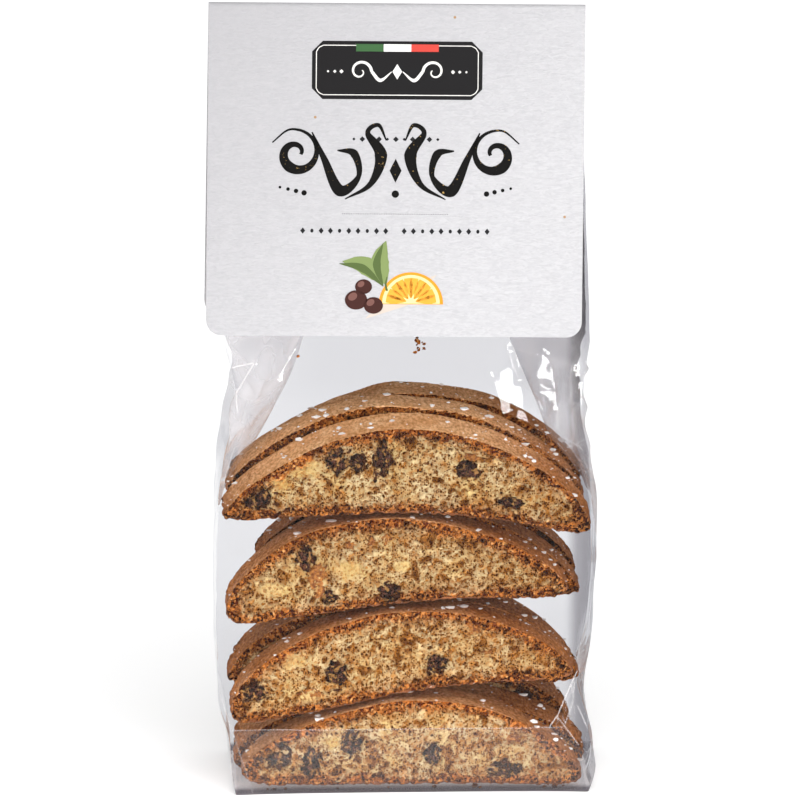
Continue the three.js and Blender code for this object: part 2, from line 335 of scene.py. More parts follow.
# What shows in the front cut faces, from the top tier down, each as x, z, width and height:
# dark chocolate, candied orange peel, dense patches with hardly a pore, and holes left by gas.
FRONTS = [f"biscotto_{tier}_front" for tier in (4, 3, 2, 1)]
CHOCOLATE = dict(zip(FRONTS, (
    [(-19.5, 102.8, 6.0, 7.4), (-13.2, 102.0, 5.4, 4.6), (-6.0, 102.3, 4.8, 8.3),
     (-42.5, 90.7, 8.1, 5.2), (19.8, 99.4, 6.4, 4.6), (32.3, 89.3, 7.5, 3.6)],
    [(-29.0, 73.4, 5.6, 6.2), (-21.8, 60.4, 4.5, 3.4), (-4.0, 61.4, 5.1, 5.0)],
    [(-44.7, 31.6, 6.6, 6.2), (-20.0, 37.0, 5.4, 7.7), (9.8, 39.2, 5.7, 6.5)],
    [(-36.0, 14.6, 3.0, 2.2), (-36.8, 10.2, 7.5, 4.6), (-27.6, 9.2, 5.4, 7.1), (-15.3, 15.4, 6.0, 7.6),
     (8.6, 11.8, 4.4, 6.2), (31.2, 6.6, 9.6, 4.2)],
)))
PEEL = dict(zip(FRONTS, (
    [(21.0, 103.6, 4.6, 2.6)],
    [(-25.4, 67.6, 6.6, 9.8), (-15.9, 76.6, 3.4, 2.6), (-4.8, 78.2, 4.2, 3.2), (-9.0, 77.6, 3.4, 2.6)],
    [(25.2, 43.2, 2.8, 1.9), (20.7, 50.0, 3.8, 3.0), (-27.6, 30.6, 6.4, 3.2)],
    [(33.8, 16.2, 4.6, 3.0), (39.3, 5.6, 3.6, 3.2)],
)))
DENSE = dict(zip(FRONTS, (
    [(-29.4, 100.6, 11.6, 7.7), (-36.4, 96.4, 7.0, 4.6)],
    [(-39.0, 63.4, 10.0, 6.0), (-15.7, 68.7, 8.0, 7.0), (0.0, 70.0, 7.0, 4.0)],
    [(-33.0, 41.4, 11.0, 5.0), (-27.6, 30.0, 8.0, 4.6)],
    [(-20.6, 15.4, 5.0, 4.0), (34.0, 20.4, 5.0, 3.0)],
)))
HOLES = dict(zip(FRONTS, (
    [(2.3, 107.2, 2.8, 3.6), (40.5, 98.0, 3.2, 2.6), (-27.8, 105.2, 7.5, 1.7), (10.6, 96.0, 3.0, 2.2),
     (36.0, 93.4, 3.0, 2.0), (-22.0, 95.0, 2.2, 2.6)],
    [(7.8, 78.0, 4.6, 4.4), (19.5, 77.2, 6.0, 2.4), (7.8, 71.9, 2.2, 1.6), (3.5, 68.8, 2.0, 6.0),
     (-36.0, 67.3, 3.0, 4.0), (30.0, 72.0, 2.6, 2.0)],
    [(-25.8, 37.5, 2.0, 2.6), (-11.6, 37.5, 4.2, 2.8), (-1.8, 41.7, 2.4, 4.6), (34.0, 44.0, 3.6, 1.8),
     (24.0, 46.0, 2.6, 2.2), (2.0, 47.0, 6.0, 3.6)],
    [(-19.5, 6.3, 3.0, 2.8), (-8.7, 10.4, 3.0, 8.0), (14.0, 10.8, 1.8, 7.0), (44.2, 7.2, 7.5, 1.8),
     (24.0, 15.0, 2.6, 2.2)],
)))


def lump(points, shape):
    """1 at the middle of an oval patch (x, z, width, height), falling to 0 at its edge."""
    x, z, width, height = shape
    far = np.hypot((points[:, 0] - x) / (width / 2), (points[:, 2] - z) / (height / 2))
    far = far * (1 + 0.7 * grain(points, 1.8, 3.1))
    return 1 - smooth(0.55, 1.2, far)


PORES = 600               # in each cut face
PORE_RADII = (0.45, 1.3)
HOLE_DEPTH = 2.2
TEAR_LIMITS = (-0.25, 3.2)
SQUARE_ON = 0.7           # a face that points this much along Y belongs to a cut


def cut_face(s, points, chocolate, patches, holes, rng):
    """How deep the crumb is torn at each point of a cut face, with its pores, its painted pore shade and
    its stains.
    """
    shift = rng.uniform(0, 50)
    inset = inset_from_outline(s, points)
    packed = np.zeros(len(points))
    for patch in patches:
        packed = np.maximum(packed, 0.6 * lump(points, patch))
    stained = np.zeros(len(points))
    for x, z, width, height in chocolate:
        stained = np.maximum(stained, lump(points, (x, z, width + 1.5, height + 1.5)))
    open_crumb = 1 - 0.85 * packed
    coarse = 0.85 * grain(points, 4.2, shift)
    pores = 1.8 * np.abs(grain(points, 1.7, shift + 7)) + 0.9 * np.abs(grain(points, 0.95, shift + 21))
    crumbs = pores * open_crumb
    depth = np.zeros(len(points))
    tree = kdtree.KDTree(len(points))
    for i, p in enumerate(points):
        tree.insert((p[0], 0, p[2]), i)
    tree.balance()
    for x, z, size in random_pits(s, rng, PORES, *PORE_RADII):
        wobble = rng.uniform(0, 40)
        for spot, i, far in tree.find_range((x, 0, z), size * 1.3):
            edge = size * (1 + 0.9 * noise.noise((spot[0] / 0.9 + wobble, 0, spot[2] / 0.9)))
            if far < edge:
                depth[i] = max(depth[i], math.sqrt(edge * edge - far * far) * 0.85)
    depth *= open_crumb
    for hole in holes:
        depth = np.maximum(depth, HOLE_DEPTH * lump(points, hole) ** 0.7)
    # painted shade: how much darker each spot is drawn, deep in the pores and among the torn crumbs
    shadow = np.clip(depth / 1.2, 0, 1) * 0.85 + np.clip(crumbs, 0, 1) * 0.4
    torn = coarse + crumbs + depth + 0.9 * stained
    # the toasted rim crumbles away a little
    torn += 0.8 * (1 - smooth(0, 1.6, inset)) * (0.5 + grain(points, 1.2, shift + 3))
    return np.clip(torn, *TEAR_LIMITS), np.clip(shadow, 0, 1), inset, packed, stained


def bake_slice(name, s, index):
    """One slice: torn cut faces, crumbly edges and a smooth domed crust."""
    rng = random.Random(100 + index)
    seen = name.endswith(("front", "back"))
    mesh = remeshed(slice_solid(s), FINE_VOXEL if seen else PLAIN_VOXEL)
    count = len(mesh.vertices)
    points, normals = np.empty((count, 3)), np.empty((count, 3))
    mesh.vertices.foreach_get("co", points.ravel())
    mesh.vertices.foreach_get("normal", normals.ravel())
    in_front = (normals[:, 1] < -SQUARE_ON) & (points[:, 1] < s["face"] + 0.5)
    behind = (normals[:, 1] > SQUARE_ON) & (points[:, 1] > s["rear"] - 0.5)
    if not name.endswith("front"):
        spots = [(x, z) for x, z, size in random_pits(s, rng, 9, 1, 2) if slice_half(s, x) > 6]
        CHOCOLATE[name] = [(x, z, rng.uniform(4, 8), rng.uniform(3.4, 6.4)) for x, z in spots[:6]]
        PEEL[name] = [(x, z, rng.uniform(2.4, 5), rng.uniform(2, 4)) for x, z in spots[6:]]
    layers = {key: np.zeros(count) for key in ("pit", "inset", "dense", "cocoa")}
    for chosen, way in ((in_front, 1), (behind, -1)):
        own = way == 1 or name.endswith("back")
        torn, *found = cut_face(s, points[chosen], CHOCOLATE[name] if own else [],
                                DENSE.get(name, []), HOLES.get(name, []) if own else [], rng)
        points[chosen, 1] += way * torn
        for layer, values in zip(layers.values(), found):
            layer[chosen] = values
    cut = in_front | behind
    skin = ~cut
    bumps = 0.16 * grain(points[skin], 5.0, index) + 0.05 * grain(points[skin], 1.2, index)
    crumbly = smooth(0.3, 0.8, -normals[skin, 2]) + smooth(0.9, 0.97, reach(s, points[skin, 0]))
    bumps -= np.clip(crumbly, 0, 1) * np.clip(0.45 + 1.3 * grain(points[skin], 1.9, 3 + index), 0, 1.5)
    points[skin] += normals[skin] * bumps[:, None]
    points[:, 2] += s["lean"] * (points[:, 1] - s["face"]) / (s["rear"] - s["face"])
    sway = 0.45 * grain(points / np.array([1, 3, 1]), 14.0, 11 * index)
    points[:, 2] += sway * smooth(0, 6, points[:, 2] - underside(s, points[:, 0]))
    mesh.vertices.foreach_set("co", points.ravel())
    low, high = slice_edges(s, points[:, 0])
    above = points[:, 2] - low
    to_tip = reach(s, points[:, 0])
    # how dark the crust is: the slice's own value, which is partly painted shade, more towards the tips and
    # the right end, and at random
    browning_and_shade = (s["baked"] + 0.4 * smooth(0.5, 1.0, to_tip) + 0.7 * smooth(10, 45, points[:, 0])
                + 0.3 * grain(points, 9.0, 5 * index))
    # the toasted grains are drawn darker towards the tips, and along the foot of each cut face as painted
    # shade where the slice rests
    burnt = 0.9 * smooth(0.84, 0.98, to_tip) + 0.5 * (1 - smooth(0.8, 3.0, above))
    burnt *= np.clip(0.8 + 0.9 * grain(points, 4.0, 2 + index), 0, 1.2)
    add_attributes(mesh, **layers, lift=np.clip(above / s["rise"], 0, 1),
                   baked=np.clip(browning_and_shade, 0, 1), burnt=np.clip(burnt, 0, 1))
    corners = np.empty(len(mesh.loops), dtype=np.int32)
    mesh.loops.foreach_get("vertex_index", corners)
    starts = np.empty(len(mesh.polygons), dtype=np.int32)
    mesh.polygons.foreach_get("loop_start", starts)
    mesh.polygons.foreach_set("material_index", np.where(cut[corners[starts]], 0, 1).astype(np.int32))
    piece = finished(name, mesh, crumb, crust)
    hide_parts("film_bag")


for index, (name, s) in enumerate(BISCOTTI.items()):
    bake_slice(name, s, index)


# ----------------------------------------
# Dark chocolate. Pieces were chopped into the dough, and the knife went through them with the
# slice, so each shows as a few rough shards sunk a little in the crumb.


def rough_lump(bm, spot, size, rng, detail, roughness):
    """Adds a broken lump to bm, centred at spot, with its own random shape."""
    made = bmesh.ops.create_icosphere(bm, subdivisions=detail, radius=1)["verts"]
    shift = Vector((rng.uniform(0, 90), rng.uniform(0, 90), rng.uniform(0, 90)))
    for v in made:
        way = v.co.normalized()
        swell = noise.noise(way * 1.3 + shift) * 0.7 + noise.cell(way * 1.7 + shift) * 0.2
        chips = noise.noise(way * 3.4 + shift) * roughness + noise.noise(way * 8 + shift) * roughness / 2
        v.co = way * (1 + swell + chips)
        v.co = Vector(spot) + Vector([c * s for c, s in zip(v.co, size)])
    return made


def fill_face(name, pieces, material, slot, shards, largest, unlike, recess, roughness):
    """The pieces that a slice's cut faces show, each a few broken shards seated in the crumb."""
    s = BISCOTTI[name]
    rng = random.Random(name)
    bm = bmesh.new()
    plane, way, lift = s["face"], 1, 0.0
    if name.endswith("back"):
        plane, way, lift = s["rear"], -1, s["lean"]
    for x, z, width, height in pieces:
        for shard in range(shards):
            size = largest * 0.84 ** shard
            out = (0.6 - size) * rng.uniform(0.5, 1.0)
            turn = rng.uniform(0, math.tau)
            sunk = recess * rng.uniform(0.3, 1.8)
            spot = (x + width * out * math.cos(turn), plane + way * (1.3 + sunk),
                    z + lift + height * out * math.sin(turn))
            size_x, size_z = (side * size * rng.uniform(1 - unlike, 1 + unlike) for side in (width, height))
            for v in rough_lump(bm, spot, (size_x, 1.5, size_z), rng, 3, roughness):
                cut = plane + way * (sunk + 0.9 * noise.noise(v.co / 1.1))
                if (v.co.y - cut) * way < 0:
                    v.co.y = cut + (v.co.y - cut) * 0.3
    # none stands out of the crust
    spots = np.array([v.co for v in bm.verts])
    across = np.clip(spots[:, 0], s["left"] + 1.5, s["right"] - 1.5)
    low, high = slice_edges(s, across)
    up = np.minimum(np.maximum(spots[:, 2], low + lift + 0.9), high + lift - 0.9)
    for v, x, z in zip(bm.verts, across, up):
        v.co.x, v.co.z = x, z
    piece = finished(name + "_" + slot, bm, material)
    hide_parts("film_bag")


# Broken chocolate: dull dark brown, with crumb sticking to it.
chocolate, add = new_material("dark_chocolate")
place = add("TexCoord").outputs["Object"]
crumble = add("TexNoise", {"Vector": place, "Scale": 1 / (1.0 * MM), "Detail": 4.0, "Roughness": 0.65})
tone = add("MapRange", (crumble, 0.46, 0.66))
clinging = add("TexNoise", {"Vector": place, "Scale": 1 / (1.9 * MM), "Detail": 5.0, "Roughness": 0.7})
stuck = add("MapRange", (clinging, 0.54, 0.58, 0, 0.92))
colour = linear("#0a0402")
for share, over in ((tone, "#744735"), (stuck, "#b08046")):
    colour = add("Mix", {0: share, 6: colour, 7: linear(over)}, data_type="RGBA")
relief = add("Bump", {"Height": crumble, "Distance": 0.9 * MM})
shader = add("BsdfPrincipled", {
    "Base Color": colour, "Roughness": 0.55, "Specular IOR Level": 0.12, "Normal": relief})
add("OutputMaterial", {"Surface": shader})

for name, pieces in CHOCOLATE.items():
    fill_face(name, pieces, chocolate, "chocolate", shards=7, largest=0.36, unlike=0.42, recess=0.4,
              roughness=0.6)


# ----------------------------------------
# Candied orange peel. Small sugared pieces, amber to brown, mixed into the dough and cut
# through with the slice.

peel, add = new_material("candied_peel")
place = add("TexCoord").outputs["Object"]
grainy = add("TexNoise", {"Vector": place, "Scale": 1 / (1.0 * MM), "Detail": 3.0})
tone = add("MapRange", (grainy, 0.38, 0.64))
amber = add("Mix", {0: tone, 6: linear("#6e3a16"), 7: linear("#ac7032")}, data_type="RGBA")
relief = add("Bump", {"Height": grainy, "Distance": 0.4 * MM})
shader = add("BsdfPrincipled", {
    "Base Color": amber, "Roughness": 0.5, "Specular IOR Level": 0.2, "Normal": relief})
add("OutputMaterial", {"Surface": shader})

for name, pieces in PEEL.items():
    fill_face(name, pieces, peel, "fruit", shards=3, largest=0.42, unlike=0.1, recess=0.2,
              roughness=0.4)


# ----------------------------------------
# Pearl sugar and fine sugar, strewn on the crust before baking and stuck to it. The top tier
# keeps the most.

sugar, add = new_material("white_sugar")
shader = add("BsdfPrincipled", {"Base Color": linear("#f4eee8"), "Roughness": 0.4})
add("OutputMaterial", {"Surface": shader})

rng = random.Random(31)
bm = bmesh.new()
for name, s in BISCOTTI.items():
    mesh = bpy.data.objects[name].data
    top = [v for v in mesh.vertices if v.normal.z > 0.25 and abs(v.normal.y) < 0.5]
    thrown = 115 if name.startswith("biscotto_4") else 65
    for v in rng.sample(top, thrown):
        spread = (v.co.x / MM - s["left"]) / (s["right"] - s["left"])
        strewn = 0.45 + 0.35 * spread + 0.8 * noise.noise(v.co / (9 * MM) + Vector((0, 0, 3)))
        if rng.random() > strewn:
            continue
        size = 0.2 + 0.95 * rng.random() ** 3
        rough_lump(bm, v.co / MM + v.normal * size * 0.2,
                   (size * rng.uniform(0.7, 1.6), size * rng.uniform(0.7, 1.3), size * 0.5), rng, 1, 0.4)
grains = finished("sugar_grains", bm, sugar, smooth_faces=False)
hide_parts("film_bag")


# ----------------------------------------
# Crumbs that came off in the bag: a cluster and a few strays stuck inside the film, and more
# lying on its bottom.

rng = random.Random(5)
bm = bmesh.new()
strays = [(-30.9, -15.2, 133.1, 0.45)]
for k in range(17):         # the cluster
    z = rng.gauss(135.0, 1.2)
    strays.append((rng.gauss(5.0, 0.8), -11.8 - 0.6 * (136 - z), z, rng.uniform(0.2, 0.6)))
for k in range(26):         # on the bottom
    strays.append((rng.uniform(-46, 50), rng.choice((-1, 1)) * rng.uniform(22.4, 23.6),
                   rng.uniform(1.0, 1.7), rng.uniform(0.25, 0.8)))
for x, y, z, size in strays:
    rough_lump(bm, (x, y, z), (size, size * 0.7, size * 0.8), rng, 3, 0.3)
crumbs = finished("loose_crumbs", bm, crumb)
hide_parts("film_bag")
add_attributes(crumbs.data, inset=0.6, pit=0.0, dense=0.0, cocoa=0.0)


# ----------------------------------------
# Film bag. A tube of clear film with side gussets, folded flat and glued under its base as a
# block bottom, and creased in towards the card at its mouth.

# Height, left edge, right edge, half depth and how far the side gusset is tucked in.
BAG_STATIONS = np.array([
    (0, -50.6, 56.2, 23.6, 0), (3, -51.2, 57.2, 24.4, 0), (16, -52.4, 57.0, 24.8, 0.6),
    (31, -55.6, 54.2, 25.0, 1.2), (46, -56.0, 56.4, 25.0, 0.6), (70, -56.0, 57.7, 25.0, 0.3),
    (91, -55.4, 58.2, 25.0, 3.4), (105, -54.0, 56.2, 25.0, 11.4), (116, -51.4, 55.0, 24.3, 14.6),
    (124, -50.8, 55.0, 20.0, 18.0), (136, -53.8, 57.3, 12.6, 25.0)])
BAG_TOP = np.array((232.4, -52.6, 54.4, 0.6, 25.0))
FILM_CORNER = 2.0
FILM_ROWS = 330
FACE_COLUMNS = 170
GUSSET_COLUMNS = 34
# Creases of the front face as (x, z) points, with how far each stands out and how white it is drawn: partly
# stress whitening, partly painted highlight.
CREASES = [
    ([(-51.0, 130.0), (-44.0, 131.4), (-49.8, 123.0), (-49.2, 118.4)], 0.3, 0.45),
    ([(-30.4, 139.0), (-37.6, 127.0), (-49.4, 115.0)], 0.5, 0.08),
    ([(57.0, 140.0), (54.2, 121.6)], 0.5, 0.35),
    ([(48.8, 109.4), (53.4, 106.2)], 0.3, 0.2),
    ([(50.0, 106.8), (54.0, 109.0)], 0.2, 0.15),
    ([(33.6, 134.6), (51.5, 130.0)], 0.5, 0.12),
    ([(31.0, 135.6), (35.0, 126.0), (40.0, 121.0), (41.6, 116.8)], 0.7, 0.1),
    ([(41.5, 124.4), (54.1, 118.8)], 0.5, 0.1),
    ([(52.0, 37.2), (46.6, 24.3), (44.2, 20.5)], 0.4, 0.3),
    ([(51.5, 33.8), (51.1, 29.5)], 0.2, 0.2),
    ([(51.2, 28.6), (48.6, 20.9)], 0.3, 0.2),
    ([(46.6, 23.1), (52.5, 15.0)], 0.3, 0.22),
    ([(52.6, 26.4), (55.2, 20.5)], 0.3, 0.22),
    ([(-55.0, 32.0), (-45.2, 1.0)], 0.3, 0.12),
]
# how far the right shoulder's pleats stand back, as places across and depths
PLEATS = ((23, 27, 35.5, 40, 45.5, 51, 55), (0, -1.1, 0.9, -0.2, 0.9, -0.2, 0))
BAG_SIDES = (-56.0, 58.3)
BAG_HALF_DEPTH = 25.2
FAR_OFF = 3.0             # from a crease, where it no longer shows


def bag_at(z):
    """The bag's left and right edges, half depth and gusset fold at the heights z."""
    heights, values = BAG_STATIONS[:, 0], BAG_STATIONS[:, 1:]
    slopes = np.gradient(values, heights, axis=0)
    k = np.clip(np.searchsorted(heights, z, side="right") - 1, 0, len(heights) - 2)
    gap = (heights[k + 1] - heights[k])[:, None]
    t = np.clip((z[:, None] - heights[k][:, None]) / gap, 0, 1)
    curve = ((2 * t ** 3 - 3 * t ** 2 + 1) * values[k] + (t ** 3 - 2 * t ** 2 + t) * gap * slopes[k]
             + (3 * t ** 2 - 2 * t ** 3) * values[k + 1] + (t ** 3 - t ** 2) * gap * slopes[k + 1])
    up = np.clip((z - heights[-1]) / (BAG_TOP[0] - heights[-1]), 0, 1)[:, None]
    return (curve + up * (BAG_TOP[1:] - values[-1])).T


def between_tiers(faces, x, z):
    """0 over the cut faces of these slices and 1 in the gaps between them."""
    gap = np.full(x.shape, 1e6)
    for s in faces:
        low, high = slice_edges(s, np.clip(x, s["left"], s["right"]))
        beside = np.maximum(s["left"] - x, x - s["right"])
        outside = np.maximum(np.maximum(low - z, z - high), beside)
        gap = np.minimum(gap, outside)
    return smooth(0.0, 3.0, gap)


def unfolded_half(side, column, z):
    """Where each spot of half the tube lies on its flat walls with round corners, how far it is
    along each of its three legs, a gusset, the face and a gusset, and how long these are."""
    left, right, half, fold = bag_at(z)
    zero = np.zeros(len(z))
    corners = [np.stack(p, 1) for p in ((left + fold, zero), (left, side * half),
                                        (right, side * half), (right - fold, zero))]
    legs = [corners[i + 1] - corners[i] for i in range(3)]
    lengths = [np.linalg.norm(leg, axis=1) for leg in legs]
    legs = [leg / length[:, None] for leg, length in zip(legs, lengths)]
    counts = (GUSSET_COLUMNS, FACE_COLUMNS, GUSSET_COLUMNS)
    parts = [np.clip((column - sum(counts[:k])) / counts[k], 0, 1) for k in range(3)]
    flat = corners[0] + sum(leg * (length * part)[:, None]
                            for leg, length, part in zip(legs, lengths, parts))
    walked = sum(length * part for length, part in zip(lengths, parts))
    radius = np.minimum(FILM_CORNER, half * 0.45)
    for k, start in ((1, lengths[0]), (2, lengths[0] + lengths[1])):
        t = (walked - start + radius) / (2 * radius)
        turned = corners[k] + radius[:, None] * (legs[k] * (t ** 2)[:, None]
                                                 - legs[k - 1] * ((1 - t) ** 2)[:, None])
        near = (t > 0) & (t < 1)
        flat[near] = turned[near]
    return flat[:, 0], flat[:, 1], parts, lengths


def crease_marks(lines, x, z, on_face):
    """How far the creases lift each spot, how far off the nearest one is, and how white it is, partly
    whitening and partly painted highlight.
    """
    lifted, white = np.zeros(len(z)), np.zeros(len(z))
    crease = np.full(len(z), FAR_OFF)
    for line, tall, pale_and_glint in lines:
        for start, end in zip(line, line[1:]):
            run = np.subtract(end, start)
            length = np.hypot(*run)
            off_x, off_z = x - start[0], z - start[1]
            along = (off_x * run[0] + off_z * run[1]) / length
            aside = (off_x * run[1] - off_z * run[0]) / length
            near = smooth(-1.2, 0.0, along) * smooth(-1.2, 0.0, length - along) * on_face
            lifted += tall * np.exp(-np.abs(aside) / 0.9) * near
            mine = (near > 0) & (np.abs(aside) < np.abs(crease))
            crease[mine] = aside[mine]
            white[mine] = pale_and_glint * near[mine]
    return lifted, crease, white


def half_tube(name, side, faces, creases):
    """Half of the tube, from the fold of one gusset round a face to the other gusset's fold."""
    bm = bmesh.new()
    columns = FACE_COLUMNS + 2 * GUSSET_COLUMNS
    bmesh.ops.create_grid(bm, x_segments=columns, y_segments=FILM_ROWS, size=1)
    spots = np.array([v.co[:2] for v in bm.verts])
    column = np.rint((spots[:, 0] + 1) / 2 * columns)
    z = np.maximum((spots[:, 1] + 1) / 2 * BAG_TOP[0], 0.05)
    x, y, (first, across, last), lengths = unfolded_half(side, column, z)
    points = np.stack((x, y, z), 1)
    on_face = smooth(0.0, 0.03, across) * smooth(0.0, 0.03, 1 - across)
    below_card = 1 - smooth(131, 137, z)
    slack = smooth(98, 116, z) * below_card
    recess = 0.7 * between_tiers(faces, x, z) * (1 - smooth(106, 120, z)) * smooth(0, 3, z)
    # the film crumples into facets beside the gussets, most of all on the right
    edges = smooth(0.15, 1.0, np.abs(2 * across - 1)) * np.where(x > 0, 1.0, 0.45)
    waves = 0.14 * grain(points, 17.0, 5 * side)
    facets = np.abs(grain(points / np.array([0.8, 1, 1.5]), 12.0, 9)) + 0.4 * np.abs(grain(points, 5.0, 4))
    waves -= 1.8 * slack * edges * (facets - 0.25)
    # upright pleats in the right shoulder, broad enough to catch the window
    pleat = x + 1.6 * grain(points, 9.0, 41) + 0.2 * (z - 126)
    waves -= np.interp(pleat, *PLEATS) * smooth(110, 117, z) * (side < 0)
    lifted, crease, white = crease_marks(creases, x, z, (across > 0) & (across < 1))
    flare = 1.6 * np.clip(1 - z / 20, 0, 1) * (2 * across - 1) ** 4
    y = y + side * (flare + (waves * below_card - recess) * on_face + lifted)
    # the gusset's fold is drawn as a bright thread, partly whitening and partly painted highlight
    on_gusset = (first < 1) | (last > 0)
    from_fold = np.where(first < 1, lengths[0] * first, lengths[2] * (1 - last))
    folded = on_gusset & (from_fold < 1.2) & (z > 92)
    crease[folded] = from_fold[folded]
    white[folded] = 0.35
    crumple = on_gusset * smooth(0, 1, np.abs(y) / 3) * (0.25 + 0.7 * slack)
    x = x + crumple * (1.2 - 4 * np.abs(grain(points / np.array([1, 1, 1.4]), 10.0, 21 * side)))
    x, y = np.clip(x, *BAG_SIDES), np.clip(y, -BAG_HALF_DEPTH, BAG_HALF_DEPTH)
    for v, spot in zip(bm.verts, zip(x, y, z)):
        v.co = spot
    bmesh.ops.recalc_face_normals(bm, faces=bm.faces[:])
    # the rear film is tinted grey, more where the card shades it, which is painted shade; towards the right
    # edge both halves are tinted greyer, and so is the glued base, darkest at its foot, partly its layers
    # of film and partly painted shadow
    shaded = smooth(100, 118, z) * (0.25 * smooth(-46, -20, x) + 0.22 * smooth(30, 40, x))
    greyed = (0.7 + shaded + 0.12 * smooth(38, 52, x)) * (side > 0)
    greyed = greyed + smooth(50, 55, x) * (0.75 + 0.3 * smooth(128, 138, z))
    # a milky band along each gusset's fold, most on the left: partly the doubled film, and partly painted
    # reflection of a bright lamp
    inward = np.maximum(1 - first, last)
    band = smooth(96, 110, z) * smooth(0, 0.15, 1 - np.abs(2 * inward - 1)) * (inward > 0)
    milk = band * np.where(x < 0, 0.3, 0.16) * (0.8 + 0.5 * grain(points, 6.0, 33))
    piece = finished(name, bm, film)
    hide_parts("film_bag")
    add_attributes(piece.data, crease=crease, white=white, milk=np.clip(milk, 0, 1),
                   grey=np.maximum(greyed, 2 - 2 * smooth(1.2, 3.4, z)))
    return piece


# Clear polypropylene film. It lets nearly all light through and mirrors the studio more and more
# towards grazing. It turns milky where it is doubled and stretched and white along its creases,
# partly whitening and partly painted sheen and highlight, and it is tinted grey, darkest at its
# base, partly painted shade.
film, add = new_material("clear_film")
grey, crease, white, milk = (add("Attribute", attribute_name=key).outputs["Fac"]
                             for key in ("grey", "crease", "white", "milk"))
glancing = add("LayerWeight", {"Blend": 0.5}).outputs["Facing"]
steep = add("Math", (glancing, 4.5), operation="POWER")
facing = add("MapRange", {0: steep, 3: 0.012, 4: 0.9})
folds_and_shadow = add("MapRange", (grey, 1.0, 2.0))
tint = linear("#fafafb")
for share, over in ((grey, "#d9d9dc"), (folds_and_shadow, "#77727a")):
    tint = add("Mix", {0: share, 6: tint, 7: linear(over)}, data_type="RGBA")
through = add("BsdfTransparent", {"Color": tint})
mirror = add("BsdfGlossy", {"Color": linear("#ffffff"), "Roughness": 0.05})
milky = add("BsdfDiffuse", {"Color": linear("#f3efee")})
aside = add("Math", (crease,), operation="ABSOLUTE")
thread_and_glint = add("MapRange", (aside, 0.3, 0.05))
thread_and_glint = add("Math", (thread_and_glint, white), operation="MULTIPLY")
cloud_and_sheen = add("Math", (thread_and_glint, milk), operation="MAXIMUM")
clear = add("MixShader", (facing, through, mirror))
surface = add("MixShader", (cloud_and_sheen, clear, milky))
add("OutputMaterial", {"Surface": surface})

fronts = [s for name, s in BISCOTTI.items() if name.endswith("front")]
backs = [s for name, s in BISCOTTI.items() if name.endswith("back")]
front = half_tube("film_front", -1, fronts, CREASES)
half_tube("film_back", 1, backs, [])

# The bottom's front flap is glued up over the front face: the same film again, a hair in front,
# cut along its top and its slanting sides. A flat sheet closes the bottom.
FLAP_TOP = 20.2
bm = bmesh.new()
bm.from_mesh(front.data)
for spot, out in (((0, 0, FLAP_TOP), (0, 0, 1)), ((48, 0, FLAP_TOP), (0.76, 0, 0.65)),
                  ((-50.6, 0, FLAP_TOP), (-0.99, 0, 0.1)), ((0, -21, 0), (0, 1, 0))):
    bmesh.ops.bisect_plane(bm, geom=bm.verts[:] + bm.edges[:] + bm.faces[:], plane_co=Vector(spot) * MM,
                           plane_no=out, clear_outer=True)
bmesh.ops.translate(bm, verts=bm.verts, vec=(0, -0.08 * MM, 0))
bmesh.ops.scale(bm, verts=bm.verts, vec=(1 / MM, 1 / MM, 1 / MM))
below_edge = np.array([FLAP_TOP - v.co.z for v in bm.verts])
flap = finished("film_bottom_flap", bm, film)
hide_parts("film_bag")
# the flap is drawn with a faint milky veil, painted sheen of the doubled film, and a pale line along its
# top edge
add_attributes(flap.data, crease=np.minimum(below_edge, FAR_OFF), white=0.26, milk=0.024, grey=0.0)
bm = bmesh.new()
bmesh.ops.create_grid(bm, x_segments=30, y_segments=12, size=1)
bmesh.ops.transform(bm, matrix=Matrix.Diagonal((52.5, 23.0, 1, 1)), verts=bm.verts)
bmesh.ops.translate(bm, verts=bm.verts, vec=(2.8, 0, 0.1))
bottom = finished("film_bottom", bm, film)
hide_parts("film_bag")
add_attributes(bottom.data, crease=FAR_OFF, white=0.0, milk=0.05, grey=0.0)


# ----------------------------------------
# Header card. One strip of uncoated embossed paperboard folded over the bag's mouth, with its
# lower corners rounded. Both panels lean out over the filled bag.

CARD_WIDTH = 112.2
CARD_THICKNESS = 0.45
CARD_TOP = 237.2
CARD_FOLD_RADIUS = 1.3
CARD_DROP = 98.3
CARD_LEAN = math.radians(7.2)
CARD_TILT = math.radians(0.85)      # it hangs a little askew
CARD_CORNER = 4.6
card_turn = (Matrix.Translation((-1.6, 0, CARD_TOP - CARD_FOLD_RADIUS - CARD_DROP / 2))
             @ Matrix.Rotation(CARD_TILT, 4, "Y") @ Matrix.Translation((0, 0, CARD_DROP / 2)))

# Pale paperboard, pressed with a felt and so faintly mottled, with a few brown fibre flecks.
board, add = new_material("embossed_paperboard")
place = add("TexCoord").outputs["Object"]
stretch = add("Mapping", {"Vector": place, "Scale": (0.3, 1.0, 1.0)})
felt = add("TexNoise", {"Vector": stretch, "Scale": 1 / (0.75 * MM), "Detail": 3.0, "Roughness": 0.6,
                        "Distortion": 1.2})
shade = add("MapRange", (felt, 0.32, 0.66))
